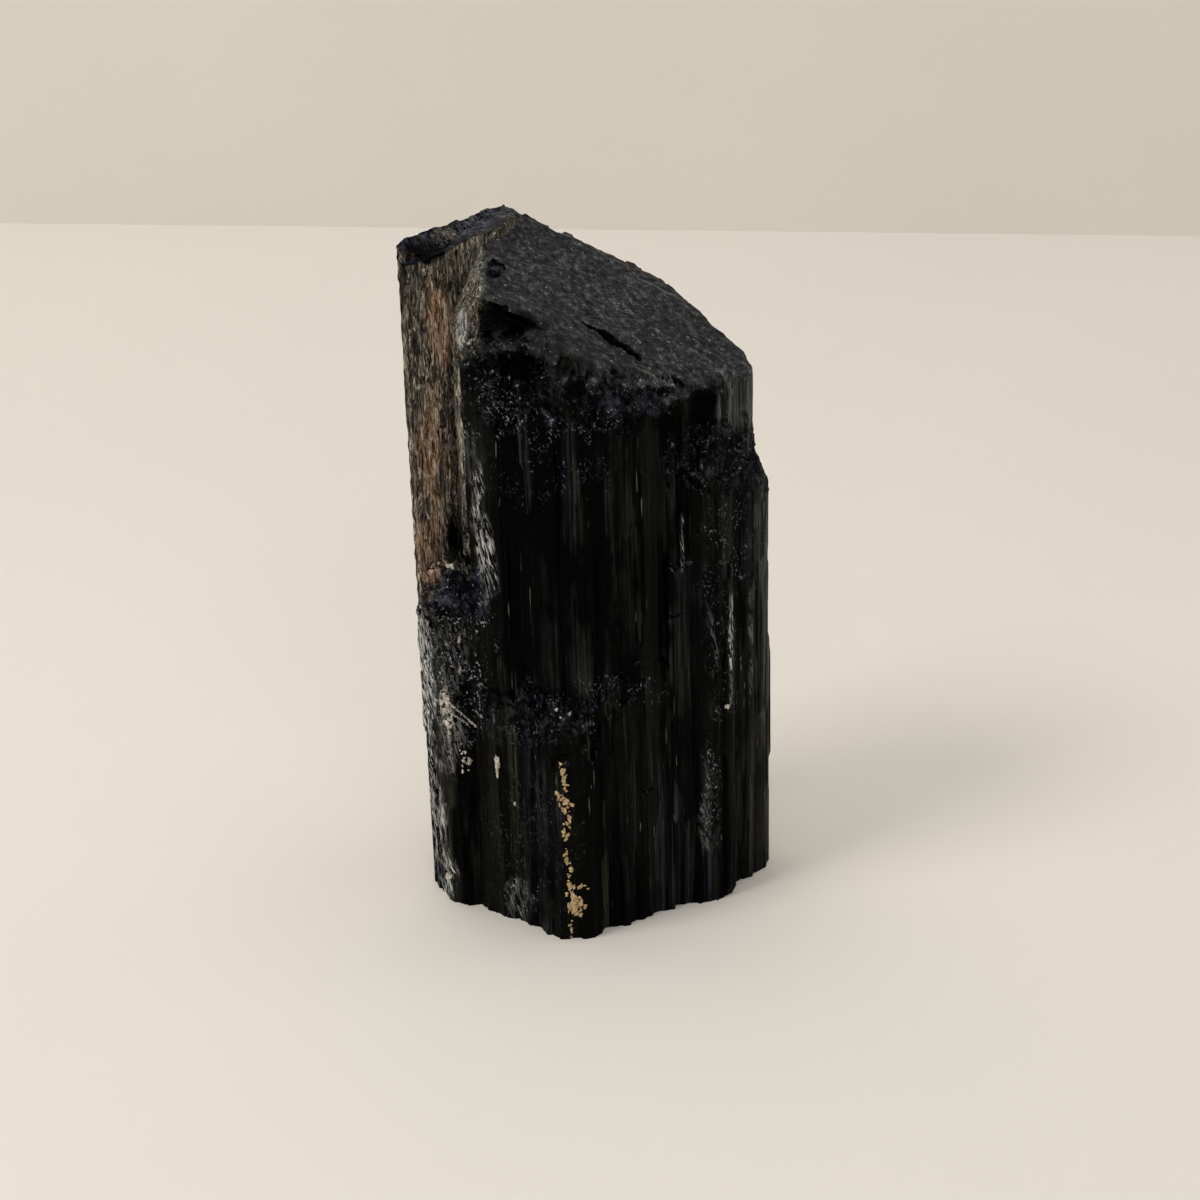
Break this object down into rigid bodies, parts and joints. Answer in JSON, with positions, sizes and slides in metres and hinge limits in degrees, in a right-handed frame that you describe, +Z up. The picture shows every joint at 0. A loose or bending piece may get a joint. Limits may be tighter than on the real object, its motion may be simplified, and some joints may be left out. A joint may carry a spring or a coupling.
{
  "type": "tourmaline crystal",
  "caption": "Free-standing raw black tourmaline crystal with a striated prism, a sloping end face and broken ledges, resting on its flat broken base.",
  "frame": {"origin": "on the flat broken base, under the middle of the crystal", "axes": "+Z up along the crystal, -Y to the striated front that shows in the picture, +X to its right"},
  "size_m": [0.0528, 0.0354, 0.1007],
  "materials": {
    "crystal": "vitreous black with fine vertical striae; dull charcoal end face, brown fibrous left face, blue-black broken ledges and a few pale mineral grains"
  },
  "bodies": {
    "root": {"crystal": "crystal"}
  },
  "joints": []
}
